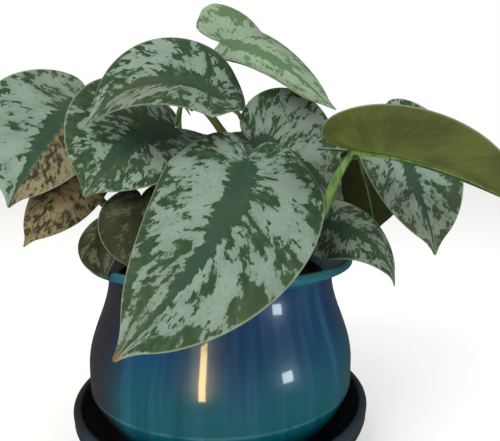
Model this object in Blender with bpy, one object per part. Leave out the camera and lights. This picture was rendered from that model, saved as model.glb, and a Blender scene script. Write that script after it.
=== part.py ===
"""Satin pothos in a glazed pot on a saucer: pot, saucer, potting soil and leafy stems.

Metres, +Z up. The origin is on the ground under the centre of the saucer, and -Y is the front.
"""

import math

import bmesh
import bpy
import numpy as np
from mathutils import Vector

MM = 0.001

# Pot, driving dimensions
POT_RIM_RADIUS = 80 * MM
POT_HEIGHT = 110 * MM
POT_LIP_THICKNESS = 5 * MM
POT_NECK_RADIUS = 68 * MM
POT_NECK_DROP = 11 * MM
POT_BELLY_RADIUS = 80.5 * MM
POT_RIDGE_DROP = 76 * MM
POT_FOOT_RADIUS = 58 * MM
POT_FOOT_WIDTH = 8 * MM
POT_FOOT_RECESS = 2.5 * MM
POT_WALL = 5.5 * MM
POT_FLOOR = 8 * MM
DRAIN_RADIUS = 7 * MM

# Saucer
SAUCER_RADIUS = 90.5 * MM
SAUCER_HEIGHT = 31 * MM
SAUCER_LIP_THICKNESS = 5 * MM
SAUCER_FOOT_RADIUS = 72 * MM
SAUCER_FLOOR_RADIUS = 66 * MM
SAUCER_FLOOR = 7.7 * MM

SEAT_GAP = 0.3 * MM
TURNED_SIDES = 40
LIP_STEPS = 4
BODY_STEPS = 7
WALL_STEPS = 4

POT_FOOT_Z = SAUCER_FLOOR + SEAT_GAP
POT_RIM_Z = POT_FOOT_Z + POT_HEIGHT

# Potting soil
SOIL_DROP = 15 * MM
SOIL_RELIEF = 1.5 * MM
SOIL_RINGS = 4
SOIL_SIDES = 20
HOLE_SIDES = 12

# Leafy stems
VINE_RADIUS = 3.2 * MM
VINE_TAPER = 0.75
VINE_SINK = 20 * MM
VINE_STEPS = 7
PETIOLE_RADIUS = 2.1 * MM
PETIOLE_STEPS = 7
PETIOLE_RUN = 9 * MM
PETIOLE_SHARES = (0, 0.75, 0.9, 1)
PETIOLE_TAPER = (1.1, 0.9, 0.62, 0.4)
BLADE_EDGE = 0.7 * MM
BLADE_ROWS = 11
BLADE_COLUMNS = (0.0, 0.07, 0.38, 0.72, 1.0)
KEEL_DEPTH = 1.6 * MM
KEEL_WIDTH = 0.38
KEEL_FADE = 0.5

# Where the back lobes' lift starts along the midrib, and over how long it grows, in shares of its length
LOBE_START = 0.1
LOBE_RUN = 0.28

# A wavy margin has this many waves along the blade, moved on by this share on the right half.
WAVES = 1.6
WAVE_SHIFT = 0.37

# Half outline of a flat blade as a chain of cubic curves, in shares of its length and half width:
# from the sinus round the back lobe to the widest place, and on to the drawn-out tip.
HALF_OUTLINE = (
    ((-0.015, 0.008), (-0.10, 0.06), (-0.185, 0.16), (-0.185, 0.40)),
    ((-0.185, 0.40), (-0.185, 0.74), (-0.02, 1.0), (0.20, 1.0)),
    ((0.20, 1.0), (0.52, 1.0), (0.76, 0.64), (0.88, 0.25)),
    ((0.88, 0.25), (0.92, 0.12), (0.96, 0.06), (0.995, 0.022)),
)
OUTLINE_SHARES = (0.20, 0.46, 0.88, 1.0)
VEIN_START_POWER = 2.4
VEIN_SWEEP_POWER = 1.4


def millimetres(*values):
    return np.array(values, float) * MM


def unit(vector):
    vector = np.asarray(vector, float)
    return vector / np.linalg.norm(vector)


def leaf(name, base, tip, face, halves, arch=0, side=0, twist=0, fold=(0, 0), cup=(0, 0), wave=0,
         hook=0, root=1.0, knee=0.35, lobes=(0, 0), back=(1, 1), via=(), thickness=1.0):
    """One leaf. base and tip are the ends of its midrib in millimetres, and face is the way its upper
    side looks. halves are the widths of its left and right half in millimetres. Angles are in degrees:
    arch bends the midrib down over its length, side bends it sideways, twist turns it about itself, fold
    and cup lift the two halves, lobes lifts the back lobes, and hook turns the tip down. back is each
    back lobe's reach as a share of the usual one. root is the share of the vine's length where the
    petiole leaves it, knee is how far the petiole arrives along the midrib, via are points that the
    petiole passes, and thickness is its share of the usual petiole's."""
    radians = math.radians
    return dict(
        name=name,
        base=millimetres(*base),
        tip=millimetres(*tip),
        face=unit(face),
        halves=[h * MM for h in halves],
        arch=radians(arch),
        side=radians(side),
        twist=radians(twist),
        fold=[radians(a) for a in fold],
        cup=[radians(a) for a in cup],
        wave=wave * MM,
        hook=radians(hook),
        root=root,
        knee=knee,
        lobes=[radians(a) for a in lobes],
        back=back,
        via=[millimetres(*p) for p in via],
        thickness=thickness,
    )


# Each vine: its points in millimetres from the soil up, and the leaves that grow on it.
VINES = {
    "stem_front": dict(
        points=((8, -20, 103), (9, -24, 122), (14, -26, 140), (16, -24, 152)),
        leaves=[
            leaf("a", (13, -54, 174), (-44, -106, 93), (-0.28, -0.94, 0.19), (43, 41), arch=26,
                 side=-42, twist=26, fold=(12, 19), cup=(-25, -62), hook=16, lobes=(-14, -18),
                 back=(1.0, 0.9), root=1.0),
            leaf("e", (16, -30, 184), (70, -24, 151), (-0.05, -0.85, 0.5), (44, 18), arch=35,
                 fold=(0, -20), root=0.8),
            leaf("h", (56, -34, 139), (88, -61, 110), (0.38, -0.62, 0.69), (18, 21), arch=72, side=-29,
                 twist=-65, hook=19, fold=(1, -7), cup=(-5, -27), lobes=(6, 22), back=(1.1, 1.2),
                 root=0.5),
            leaf("f", (65, -58, 179), (145, -78, 150), (0.0, 0.28, 0.96), (34, 37), arch=30,
                 fold=(16, 16), root=0.4,
                 via=((16, -33, 124), (28, -52, 132), (40, -61, 139), (50, -60, 148), (57, -58, 164)),
                 thickness=1.25),
        ],
    ),
    "stem_left": dict(
        points=((-18, -8, 103), (-18, -8, 125), (-18, -6, 145), (-16, -4, 160)),
        leaves=[
            leaf("c", (-27, -8, 193), (-70, -46, 155), (-0.3, -0.85, 0.45), (42, 47), arch=60,
                 fold=(0, 20), root=0.8),
        ],
    ),
    "stem_far_left": dict(
        points=((-34, 6, 103), (-44, 6, 118), (-58, 4, 136), (-72, 2, 148), (-80, 2, 158)),
        leaves=[
            leaf("l1", (-82, 5, 211), (-117, -25, 148), (-0.25, -0.95, 0.2), (34, 55), arch=30,
                 root=1.0),
            leaf("l2", (-82, -4, 174), (-108, -30, 127), (-0.5, -0.8, 0.2), (24, 22), arch=10,
                 fold=(-10, 0), cup=(-70, 0), root=0.8),
        ],
    ),
    "stem_low_left": dict(
        points=((-30, -30, 103), (-32, -33, 118), (-36, -33, 132), (-40, -31, 142)),
        leaves=[
            leaf("m", (-65, -31, 141), (-57, -59, 115), (-0.3, -0.9, 0.1), (17, 15), arch=40, root=0.5),
            leaf("n", (-42, -42, 155), (-42, -70, 121), (-0.2, -0.9, 0.2), (18, 21), arch=30, root=1.0),
        ],
    ),
    "stem_top": dict(
        points=((4, 14, 103), (4, 14, 130), (6, 10, 160), (6, 9, 182), (-2, 11, 196), (-9, 13, 205)),
        leaves=[
            leaf("b", (2, -38, 204), (-70, -39, 191), (-0.03, -0.55, 0.83), (24, 33), arch=109, side=5,
                 twist=-2, hook=-18, fold=(4, 16), cup=(-18, 9), lobes=(77, -6), back=(-0.1, 1.0),
                 root=0.6, via=((13, -4, 188), (11, -18, 199)), thickness=0.65),
            leaf("d", (0, 8, 246), (64, -27, 202), (0.37, -0.71, 0.60), (32, 22), arch=45, side=-1,
                 twist=-35, hook=-17, fold=(4, -37), cup=(-36, 85), lobes=(44, 13), back=(1.5, 0.1),
                 root=1.0, via=((-9, 13, 214), (-6, 12, 234)), thickness=0.9),
        ],
    ),
    "stem_right": dict(
        points=((34, -8, 103), (40, -8, 125), (48, -10, 145), (54, -10, 160)),
        leaves=[
            leaf("k", (105, 7, 198), (122, -32, 120), (0.07, -0.97, 0.22), (33, 29), arch=2, side=-11,
                 twist=14, hook=25, fold=(6, 4), cup=(13, 0), lobes=(-8, -18), back=(1.0, 0.9),
                 root=1.0),
            leaf("j", (92, 20, 176), (104, 18, 126), (0.4, 0.7, 0.6), (26, 30), arch=20, root=0.9),
        ],
    ),
    "stem_back_left": dict(
        points=((-24, 34, 103), (-25, 36, 125), (-26, 38, 150), (-26, 38, 172)),
        leaves=[
            leaf("p", (-46, 48, 196), (-96, 84, 150), (-0.35, 0.6, 0.7), (36, 36), arch=50, hook=10,
                 root=1.0),
            leaf("q", (-2, 62, 190), (4, 112, 138), (0.0, 0.7, 0.7), (36, 38), arch=60, root=0.7),
            leaf("s", (-24, 30, 212), (-52, 12, 244), (-0.2, -0.6, 0.7), (6, 6), arch=20, cup=(90, 90),
                 root=0.9),
        ],
    ),
    "stem_back_right": dict(
        points=((24, 30, 103), (26, 32, 125), (30, 34, 145), (32, 34, 160)),
        leaves=[
            leaf("r", (52, 52, 180), (94, 94, 126), (0.4, 0.6, 0.6), (38, 36), arch=45, hook=15,
                 root=1.0),
            leaf("t", (31, 30, 200), (76, 34, 178), (0.1, 0.3, 0.9), (26, 28), arch=60, root=0.8),
        ],
    ),
}


def cubic(ends, share):
    """A point on one cubic curve."""
    a, b, c, d = (np.asarray(p, float) for p in ends)
    rest = 1 - share
    return rest**3 * a + 3 * rest**2 * share * b + 3 * rest * share**2 * c + share**3 * d


def smooth_path(points, steps):
    """Points along a smooth curve through the given ones."""
    points = np.asarray(points, float)
    padded = np.concatenate([2 * points[:1] - points[1:2], points, 2 * points[-1:] - points[-2:-1]])
    path = []
    for share in np.linspace(0, len(points) - 1, steps):
        i = min(int(share), len(points) - 2)
        before, start, end, after = padded[i:i + 4]
        bezier = (start, start + (end - before) / 6, end - (after - start) / 6, end)
        path.append(cubic(bezier, share - i))
    return np.array(path)


def outline_point(share):
    """(along, across) of the margin, in shares, where 0 is the sinus and 1 is the tip."""
    start = 0.0
    for ends, stop in zip(HALF_OUTLINE, OUTLINE_SHARES):
        if share <= stop:
            return cubic(ends, (share - start) / (stop - start))
        start = stop
    return np.array(HALF_OUTLINE[-1][-1])


def turn(axis, angle):
    """The matrix that turns by angle about axis 0, 1 or 2, one for each angle."""
    cosine, sine = np.cos(angle), np.sin(angle)
    matrix = np.zeros(np.shape(angle) + (3, 3))
    first, second = (axis + 1) % 3, (axis + 2) % 3
    matrix[..., axis, axis] = 1
    matrix[..., first, first] = matrix[..., second, second] = cosine
    matrix[..., first, second], matrix[..., second, first] = -sine, sine
    return matrix


def between(shares, values, at):
    """Values given at shares, read at one share."""
    flat = values.reshape(len(shares), -1)
    read = [np.interp(at, shares, flat[:, k]) for k in range(flat.shape[1])]
    return np.array(read).reshape(values.shape[1:])


def midrib_frames(spec, steps=80):
    """Shares along the midrib from the back of the lobes to the tip, with its place and frame at each:
    columns along the midrib, to its left and up out of the upper side."""
    chord = spec["tip"] - spec["base"]
    along = unit(chord)
    up = unit(spec["face"] - (spec["face"] @ along) * along)
    start = np.stack([along, np.cross(up, along), up], axis=1)
    shares = np.linspace(-0.25, 1.0, steps)
    inside = np.clip(shares, 0, 1)
    bend = spec["arch"] * (inside - 0.5) + spec["hook"] * np.clip((inside - 0.7) / 0.3, 0, 1) ** 2
    sideways = turn(2, spec["side"] * (inside - 0.5))
    twisted = turn(0, spec["twist"] * (inside - 0.5))
    frames = start @ sideways @ turn(1, bend) @ twisted
    step = shares[1] - shares[0]
    moves = (frames[1:, :, 0] + frames[:-1, :, 0]) / 2 * step
    path = np.concatenate([np.zeros((1, 3)), np.cumsum(moves, axis=0)])
    path -= between(shares, path, 0)
    length = np.linalg.norm(chord) / np.linalg.norm(path[-1])
    # The bends turn the far end a little off the chord, so the whole blade is turned back onto it.
    lean = np.array(Vector(path[-1]).rotation_difference(Vector(chord)).to_matrix())
    return shares, spec["base"] + (path * length) @ lean.T, lean @ frames, length


def blade_points(spec, rows, columns):
    """The upper side of a blade as an array [row, column], from the right margin across the midrib to
    the left."""
    shares, path, frames, length = midrib_frames(spec)
    points = np.zeros((len(rows), 2 * len(columns) - 1, 3))
    middle = len(columns) - 1
    for i, row in enumerate(rows):
        margin = outline_point(row)
        start = row**VEIN_START_POWER
        for j, column in enumerate(columns):
            for hand, sign in enumerate((1, -1)):
                reach = margin[0] * (spec["back"][hand] if margin[0] < 0 else 1)
                at = start + (reach - start) * column**VEIN_SWEEP_POWER
                place, frame = between(shares, path, at), between(shares, frames, at)
                half = spec["halves"][hand]
                across = margin[1] * column * half
                in_lobe = np.clip((LOBE_START - at) / LOBE_RUN, 0, 1)
                fold = spec["fold"][hand] + spec["lobes"][hand] * in_lobe
                rate = spec["cup"][hand] / half or 1e-4
                out = (math.sin(fold + rate * across) - math.sin(fold)) / rate
                lift = (math.cos(fold) - math.cos(fold + rate * across)) / rate
                wave = math.sin(2 * math.pi * (WAVES * at + WAVE_SHIFT * hand))
                lift += spec["wave"] * column**2 * margin[1] * wave
                points[i, middle + sign * j] = place + frame[:, 1] * out * sign + frame[:, 2] * lift
    return points, length


def grid_normals(points):
    """Unit normals of a grid of points, out of a blade's upper side."""
    normal = np.cross(np.gradient(points, axis=0), np.gradient(points, axis=1))
    return normal / np.maximum(np.linalg.norm(normal, axis=2, keepdims=True), 1e-12)


def petiole_points(vine, spec):
    """A petiole's centre line from inside the vine up to the blade, then along under the midrib."""
    path = smooth_path(np.array(vine["points"]) * MM, 60)
    root = between(np.linspace(0, 1, 60), path, spec["root"])
    shares, midrib, frames, length = midrib_frames(spec)
    run = PETIOLE_RUN / length
    joint, end = between(shares, midrib, 0.0), between(shares, midrib, run)
    frame = between(shares, frames, 0.0)
    depth = BLADE_EDGE + 0.4 * KEEL_DEPTH
    joint = joint - frame[:, 2] * depth
    end = end - between(shares, frames, run)[:, 2] * depth
    reach = np.linalg.norm(joint - root)
    vine_up = unit(path[-1] - path[0])
    leaving = root + (vine_up * 0.6 + unit(joint - root) * 0.4) * reach * 0.4
    arriving = joint - unit(frame[:, 2] * (1 - spec["knee"]) + frame[:, 0] * spec["knee"]) * reach * 0.3
    if spec["via"]:
        points = smooth_path([root, *spec["via"], joint], PETIOLE_STEPS + 3)
    else:
        points = [cubic((root, leaving, arriving, joint), s) for s in np.linspace(0, 1, PETIOLE_STEPS)]
    return np.concatenate([points, [end]])


def material(name, colour, roughness, metallic=0.0):
    made = bpy.data.materials.new(name)
    made.use_nodes = True
    shader = made.node_tree.nodes["Principled BSDF"]
    shader.inputs["Base Color"].default_value = (*colour, 1)
    shader.inputs["Roughness"].default_value = roughness
    shader.inputs["Metallic"].default_value = metallic
    return made


def add_object(name, mesh):
    thing = bpy.data.objects.new(name, mesh)
    bpy.context.scene.collection.objects.link(thing)
    return thing


def mesh_from(bm, name):
    mesh = bpy.data.meshes.new(name)
    bm.to_mesh(mesh)
    bm.free()
    return mesh


def baked(thing):
    """Puts an object's modifiers into its mesh."""
    graph = bpy.context.evaluated_depsgraph_get()
    mesh = bpy.data.meshes.new_from_object(thing.evaluated_get(graph))
    thing.modifiers.clear()
    thing.data = mesh
    return thing


def smooth(thing, angle=35):
    thing.data.shade_smooth()
    thing.data.set_sharp_from_angle(angle=math.radians(angle))


def arc(centre, radius, start, stop, steps):
    """Points (r, z) of an arc between two angles in degrees."""
    angles = np.radians(np.linspace(start, stop, steps))
    return [(centre[0] + radius * math.cos(a), centre[1] + radius * math.sin(a)) for a in angles]


def turned(name, profile, sides):
    """A solid turned about Z from a profile of points (r, z), which runs top to bottom down its outer
    side. Ends of the profile that are on the axis close it there, and otherwise it is closed on itself."""
    bm = bmesh.new()
    verts = [bm.verts.new((r, 0, z)) for r, z in profile]
    loop = list(zip(verts, verts[1:]))
    if profile[0][0] > 0:
        loop.append((verts[-1], verts[0]))
    edges = [bm.edges.new(pair) for pair in loop]
    bmesh.ops.spin(bm, geom=verts + edges, cent=(0, 0, 0), axis=(0, 0, 1), angle=2 * math.pi,
                   steps=sides, use_merge=True, use_duplicate=False)
    bmesh.ops.remove_doubles(bm, verts=bm.verts, dist=0.00001)
    bmesh.ops.recalc_face_normals(bm, faces=bm.faces)
    return add_object(name, mesh_from(bm, name))


def pot_outer():
    """The pot's outer side from the lip's top to the foot, as (r, z)."""
    lip = POT_LIP_THICKNESS / 2
    rim = arc((POT_RIM_RADIUS - lip, POT_RIM_Z - lip), lip, 90, -60, LIP_STEPS)
    neck_z = POT_RIM_Z - POT_NECK_DROP
    ridge_z = POT_RIM_Z - POT_RIDGE_DROP
    flare = [(POT_NECK_RADIUS + 4 * MM, neck_z + 3.5 * MM)]
    swell = POT_BELLY_RADIUS - POT_NECK_RADIUS
    body = []
    for share in np.linspace(0, 1, BODY_STEPS):
        rise = 0.5 - 0.5 * math.cos(math.pi * min(1, share / 0.8))
        body.append((POT_NECK_RADIUS + swell * rise, neck_z + (ridge_z - neck_z) * share))
    drop = ridge_z - POT_FOOT_Z
    under = []
    width = POT_BELLY_RADIUS - POT_FOOT_RADIUS
    for share in np.linspace(0.2, 1, WALL_STEPS):
        angle = share * math.pi / 2
        z = ridge_z - drop * (1 - math.cos(angle)) ** 0.72
        under.append((POT_FOOT_RADIUS + width * math.cos(angle), z))
    return rim + flare + body + under


def pot_inner():
    """The pot's inner side from the drain hole up to the lip, as (r, z)."""
    floor_z = POT_FOOT_Z + POT_FLOOR
    outer = [p for p in pot_outer() if floor_z + 4 * MM < p[1] < POT_RIM_Z - POT_LIP_THICKNESS]
    wall = [(r - POT_WALL, z) for r, z in outer[::-2]]
    return [(DRAIN_RADIUS, floor_z), (POT_FOOT_RADIUS - POT_WALL - 3 * MM, floor_z)] + wall


def add_pot():
    recess = POT_FOOT_Z + POT_FOOT_RECESS
    ring = POT_FOOT_RADIUS - POT_FOOT_WIDTH
    foot = [(ring, POT_FOOT_Z), (ring - 1.5 * MM, recess), (DRAIN_RADIUS, recess)]
    pot = turned("pot", pot_outer() + foot + pot_inner(), TURNED_SIDES)
    smooth(pot)
    pot.data.materials.append(material("blue_glaze", (0.0, 0.09, 0.16), 0.12))


def saucer_outer():
    lip = SAUCER_LIP_THICKNESS / 2
    rim = arc((SAUCER_RADIUS - lip, SAUCER_HEIGHT - lip), lip, 100, -20, LIP_STEPS)
    wall = []
    for share in np.linspace(0.25, 1, 4):
        wall.append((SAUCER_RADIUS - (SAUCER_RADIUS - SAUCER_FOOT_RADIUS) * share**1.7,
                     (SAUCER_HEIGHT - SAUCER_LIP_THICKNESS) * (1 - share)))
    return rim + wall


def add_saucer():
    inner = [(SAUCER_FLOOR_RADIUS, SAUCER_FLOOR)]
    inner.append((SAUCER_FLOOR_RADIUS + 4 * MM, SAUCER_FLOOR + 1.2 * MM))
    rise = SAUCER_HEIGHT - SAUCER_LIP_THICKNESS - SAUCER_FLOOR
    width = SAUCER_RADIUS - SAUCER_LIP_THICKNESS - SAUCER_FLOOR_RADIUS
    for share in (0.45, 0.75):
        inner.append((SAUCER_FLOOR_RADIUS + width * share**0.55, SAUCER_FLOOR + rise * share))
    inner.append((SAUCER_RADIUS - SAUCER_LIP_THICKNESS, SAUCER_HEIGHT - SAUCER_LIP_THICKNESS / 2))
    profile = [(0, 0)] + saucer_outer()[::-1] + inner[::-1] + [(0, SAUCER_FLOOR)]
    saucer = turned("saucer", profile, TURNED_SIDES)
    smooth(saucer)
    saucer.data.materials.append(material("saucer_glaze", (0.01, 0.05, 0.07), 0.2))


def add_soil(hole_places):
    """Potting soil that fills the pot, with a lumpy top and a plain hole for each vine."""
    top_z = POT_RIM_Z - SOIL_DROP
    side = [(r - SEAT_GAP, z + (SEAT_GAP if i < 2 else 0)) for i, (r, z) in enumerate(pot_inner())]
    edge_radius = np.interp(top_z, [z for r, z in side], [r for r, z in side])
    wall = [point for point in side[::-1] if point[1] < top_z]
    rings = [(edge_radius * (k / SOIL_RINGS), top_z) for k in range(SOIL_RINGS + 1)]
    soil = turned("soil", rings + wall[:-1] + [(0, wall[-1][1])], SOIL_SIDES)
    for vert in soil.data.vertices:
        x, y, z = vert.co
        if z > top_z - 0.1 * MM and math.hypot(x, y) < edge_radius - 1 * MM:
            lumps = math.sin(x / (7 * MM)) * math.cos(y / (5 * MM) + 1)
            lumps += 0.6 * math.sin((x + y) / (3.3 * MM))
            vert.co.z = z + SOIL_RELIEF * lumps
    cutters = [add_hole_cutter(place) for place in hole_places]
    for cutter in cutters:
        cut = soil.modifiers.new("hole", "BOOLEAN")
        cut.operation = "DIFFERENCE"
        cut.solver = "EXACT"
        cut.object = cutter
    baked(soil)
    for cutter in cutters:
        bpy.data.objects.remove(cutter)
    soil.data.materials.clear()
    soil.data.materials.append(material("potting_soil", (0.045, 0.03, 0.02), 0.95))


def add_hole_cutter(place):
    """A plain prism round a vine's foot, wider than the vine all round by at least the seat gap."""
    bottom = place[2] - VINE_SINK - SEAT_GAP
    top = POT_RIM_Z
    bm = bmesh.new()
    radius = VINE_RADIUS + 2 * SEAT_GAP
    bmesh.ops.create_cone(bm, cap_ends=True, segments=HOLE_SIDES, radius1=radius, radius2=radius,
                          depth=top - bottom)
    bmesh.ops.translate(bm, verts=bm.verts, vec=(place[0], place[1], (top + bottom) / 2))
    return add_object("hole_cutter", mesh_from(bm, "hole_cutter"))


def add_tube(name, path, radii, resolution=1):
    """A round closed tube along a path, as a mesh object."""
    curve = bpy.data.curves.new(name, "CURVE")
    curve.dimensions = "3D"
    curve.bevel_depth = 1.0
    curve.bevel_resolution = resolution
    curve.use_fill_caps = True
    spline = curve.splines.new("POLY")
    spline.points.add(len(path) - 1)
    for point, place, radius in zip(spline.points, path, radii):
        point.co = (*place, 1)
        point.radius = radius
    guide = add_object(name + "_curve", curve)
    graph = bpy.context.evaluated_depsgraph_get()
    mesh = bpy.data.meshes.new_from_object(guide.evaluated_get(graph))
    bpy.data.objects.remove(guide)
    bm = bmesh.new()
    bm.from_mesh(mesh)
    bmesh.ops.remove_doubles(bm, verts=bm.verts, dist=0.000001)
    bmesh.ops.recalc_face_normals(bm, faces=bm.faces)
    return add_object(name, mesh_from(bm, name))


def add_blade(name, spec):
    """A leaf blade as a thin closed solid, thicker along its midrib, split into triangles alike on both
    sides."""
    rows = np.linspace(0, 1, BLADE_ROWS)
    upper, _ = blade_points(spec, rows, BLADE_COLUMNS)
    shares = np.abs(np.concatenate([-np.array(BLADE_COLUMNS)[:0:-1], BLADE_COLUMNS]))
    keel = np.clip(1 - shares / KEEL_WIDTH, 0, 1)[None, :] * (1 - rows[:, None]) ** KEEL_FADE
    thickness = BLADE_EDGE + KEEL_DEPTH * keel
    lower = upper - grid_normals(upper) * thickness[:, :, None]
    bm = bmesh.new()
    top = [[bm.verts.new(p) for p in line] for line in upper]
    bottom = [[bm.verts.new(p) for p in line] for line in lower]
    last_row, last_column = len(rows) - 1, len(shares) - 1
    for i in range(last_row):
        for j in range(last_column):
            corners = ((i, j), (i + 1, j), (i + 1, j + 1), (i, j + 1))
            split = (0, 1, 2), (0, 2, 3)
            if j >= last_column // 2:
                split = (0, 1, 3), (1, 2, 3)
            for face in split:
                ring = [corners[k] for k in face]
                bm.faces.new([top[r][c] for r, c in ring])
                bm.faces.new([bottom[r][c] for r, c in reversed(ring)])
    border = [(i, 0) for i in range(last_row + 1)]
    border += [(last_row, j) for j in range(1, last_column + 1)]
    border += [(i, last_column) for i in range(last_row - 1, -1, -1)]
    border += [(0, j) for j in range(last_column - 1, 0, -1)]
    for (r, c), (s, d) in zip(border, border[1:] + border[:1]):
        bm.faces.new((top[s][d], top[r][c], bottom[r][c]))
        bm.faces.new((top[s][d], bottom[r][c], bottom[s][d]))
    bmesh.ops.recalc_face_normals(bm, faces=bm.faces)
    return add_object(name, mesh_from(bm, name))


def add_stem(name, vine):
    """A vine, its petioles and its leaf blades, fused into one solid."""
    path = smooth_path(np.array(vine["points"]) * MM, VINE_STEPS)
    foot = path[0] - np.array([0, 0, VINE_SINK])
    path = np.concatenate([[foot], path])
    radii = VINE_RADIUS * np.linspace(1, VINE_TAPER, len(path))
    radii[:2] = VINE_RADIUS
    stem = add_tube(name, path, radii, resolution=2)
    pieces = bpy.data.collections.new(name + "_pieces")
    bpy.context.scene.collection.children.link(pieces)
    for spec in vine["leaves"]:
        blade = add_blade(name + "_" + spec["name"], spec)
        centre = petiole_points(vine, spec)
        shares = np.linspace(0, 1, len(centre))
        taper = np.interp(shares, PETIOLE_SHARES, PETIOLE_TAPER)
        petiole_radii = PETIOLE_RADIUS * spec["thickness"] * taper
        petiole = add_tube(name + "_" + spec["name"] + "_petiole", centre, petiole_radii)
        for piece in (blade, petiole):
            pieces.objects.link(piece)
            bpy.context.scene.collection.objects.unlink(piece)
    union = stem.modifiers.new("fuse", "BOOLEAN")
    union.operation = "UNION"
    union.operand_type = "COLLECTION"
    union.collection = pieces
    union.solver = "MANIFOLD"
    baked(stem)
    for piece in list(pieces.objects):
        bpy.data.objects.remove(piece)
    bpy.data.collections.remove(pieces)
    smooth(stem, 50)
    stem.data.materials.clear()
    stem.data.materials.append(material(name + "_leaves", (0.10, 0.20, 0.10), 0.5))


def main():
    for thing in list(bpy.data.objects):
        bpy.data.objects.remove(thing)
    add_saucer()
    add_pot()
    add_soil([np.array(vine["points"][0]) * MM for vine in VINES.values()])
    for name, vine in VINES.items():
        add_stem(name, vine)


if __name__ == "__main__":
    main()
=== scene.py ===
"""Looks of the satin pothos in its glazed pot: silver-marked leaves, stalks, vines, soil, pot and saucer."""

import math

import bpy
import numpy as np
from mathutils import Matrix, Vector, noise


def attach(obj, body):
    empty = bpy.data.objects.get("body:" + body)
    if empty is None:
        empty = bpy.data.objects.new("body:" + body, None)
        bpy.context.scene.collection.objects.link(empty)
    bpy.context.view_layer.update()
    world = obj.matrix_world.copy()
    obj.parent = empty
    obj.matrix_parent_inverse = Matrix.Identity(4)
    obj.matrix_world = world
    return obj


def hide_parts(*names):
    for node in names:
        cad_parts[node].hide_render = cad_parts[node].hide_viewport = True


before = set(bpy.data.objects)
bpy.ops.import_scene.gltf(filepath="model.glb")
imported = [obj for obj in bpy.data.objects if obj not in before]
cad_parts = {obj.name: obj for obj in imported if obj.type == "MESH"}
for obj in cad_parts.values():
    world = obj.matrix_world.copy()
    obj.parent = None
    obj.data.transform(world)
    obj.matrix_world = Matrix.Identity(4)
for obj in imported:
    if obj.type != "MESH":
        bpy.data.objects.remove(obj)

bl_info = {
    "name": "Satin pothos in a glazed pot",
    "version": (1, 0, 0),
    "blender": (4, 5, 0),
    "location": "3D View > Sidebar > Pothos",
    "description": "Models a satin pothos with its pot, saucer and soil, and a plain studio round it",
    "category": "Object",
}

MM = 0.001

# The same turned shapes and leaf rule as the solids have, in metres
POT_RIM_RADIUS = 80 * MM
POT_HEIGHT = 110 * MM
POT_LIP_THICKNESS = 5 * MM
POT_NECK_RADIUS = 68 * MM
POT_NECK_DROP = 11 * MM
POT_FLARE = ((7.2 * MM, 5.6 * MM), (4 * MM, 3.4 * MM), (1.6 * MM, 1.5 * MM))
POT_BELLY_RADIUS = 80.5 * MM
POT_RIDGE_DROP = 76 * MM
POT_FOOT_RADIUS = 58 * MM
POT_FOOT_WIDTH = 8 * MM
POT_FOOT_RECESS = 2.5 * MM
POT_WALL = 5.5 * MM
POT_FLOOR = 8 * MM
DRAIN_RADIUS = 7 * MM
SAUCER_RADIUS = 90.5 * MM
SAUCER_HEIGHT = 31 * MM
SAUCER_LIP_THICKNESS = 5 * MM
SAUCER_FOOT_RADIUS = 72 * MM
SAUCER_FLOOR_RADIUS = 66 * MM
SAUCER_FLOOR = 7.7 * MM
SEAT_GAP = 0.3 * MM
POT_FOOT_Z = SAUCER_FLOOR + SEAT_GAP
POT_RIM_Z = POT_FOOT_Z + POT_HEIGHT
SOIL_Z = POT_RIM_Z - 15 * MM

VINE_RADIUS = 3.2 * MM
VINE_TAPER = 0.75
VINE_SINK = 20 * MM
VINE_STEPS = 48
PETIOLE_RADIUS = 2.1 * MM
PETIOLE_STEPS = 36
PETIOLE_RUN = 9 * MM
PETIOLE_KNEE = 0.35
BLADE_EDGE = 0.7 * MM
KEEL_DEPTH = 1.6 * MM
KEEL_STEPS = 16
KEEL_END = 0.9
LOBES_BACK = -0.25
LOBE_START = 0.1
LOBE_RUN = 0.28
HOOK_START = 0.7
HOOK_RUN = 0.3
FLAT_RATE = 1e-4

HALF_OUTLINE = (
    ((-0.015, 0.008), (-0.10, 0.06), (-0.185, 0.16), (-0.185, 0.40)),
    ((-0.185, 0.40), (-0.185, 0.74), (-0.02, 1.0), (0.20, 1.0)),
    ((0.20, 1.0), (0.52, 1.0), (0.76, 0.64), (0.88, 0.25)),
    ((0.88, 0.25), (0.92, 0.12), (0.96, 0.06), (0.995, 0.022)),
)
OUTLINE_SHARES = (0.20, 0.46, 0.88, 1.0)
VEIN_START_POWER = 2.4
VEIN_SWEEP_POWER = 1.4

# Relief and fineness that the solids leave out
VEIN_PAIRS = 9
VEIN_WIDTH = 0.16
VEIN_PRESS = 0.28 * MM
RIB_WIDTH = 0.05
RIB_PRESS = 0.45 * MM
FULL_PRESS_HALF = 20 * MM
BLADE_THICKNESS = 0.55 * MM
NODE_SWELL = 0.12
NODE_RUN = 0.025
SOIL_SIDES = 120
SOIL_RINGS = 26
SOIL_LUMP = 9 * MM
SOIL_CRUMB = 2.6 * MM
FIRST_SEED = 1.7
SEED_STEP = 3.1

# The studio in metres from the middle of the saucer's foot, and the camera, with its angles in degrees
PLANT_MIDDLE = (0, -0.02, 0.15)
SOFTBOX_SIZE = (0.8, 0.8)
KEY_PLACE = (-0.7, -0.75, 0.95)
FILL_PLACE = (0.9, -0.5, 0.6)
STRIP_PLACE = (-0.13, -0.505, 0.091)
STRIP_SHINE = (-0.009, -0.077, 0.071)
STRIP_SIZE = (0.045, 0.28)
WINDOW_PLACE = (0.747, -0.613, 0.075)
WINDOW_SHINE = (0.032, -0.071, 0.07)
WINDOW_SIZE = (0.15, 0.14)
CAMERA_BACK = 290 * MM
CAMERA_OVER_RIM = 53.6 * MM
CAMERA_DOWN = 6.8
CAMERA_RIGHT = 3.5


def millimetres(*values):
    return np.array(values, float) * MM


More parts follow.
